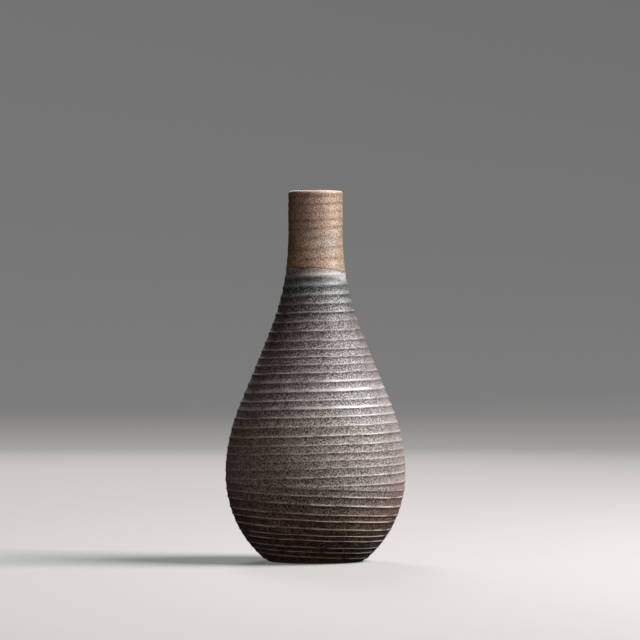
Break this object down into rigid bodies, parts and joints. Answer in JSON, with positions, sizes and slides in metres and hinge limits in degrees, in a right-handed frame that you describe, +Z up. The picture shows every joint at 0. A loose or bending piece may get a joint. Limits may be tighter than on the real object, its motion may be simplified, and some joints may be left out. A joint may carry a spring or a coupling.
{
  "type": "stoneware bottle vase",
  "caption": "Small bottle vase with a pear-shaped grooved belly and a narrow straight neck, thrown in stoneware and glazed dark with a tan neck.",
  "frame": {"origin": "centre of the foot, on the plane that the vase stands on", "axes": "+Z up along the turning axis, towards the mouth; the side seen first faces -Y"},
  "size_m": [0.0804, 0.0804, 0.165],
  "materials": {
    "lower_body": "matte",
    "belly_seam_slip": "matte",
    "upper_body": "matte",
    "neck_seam_slip": "matte",
    "neck": "matte",
    "liner_glaze": "gloss",
    "body_glaze": "satin",
    "neck_glaze": "satin"
  },
  "bodies": {
    "root": {"lower_body": "lower_body", "belly_seam_slip": "belly_seam_slip", "upper_body": "upper_body", "neck_seam_slip": "neck_seam_slip", "neck": "neck", "liner_glaze": "liner_glaze", "body_glaze": "body_glaze", "neck_glaze": "neck_glaze"}
  },
  "joints": []
}
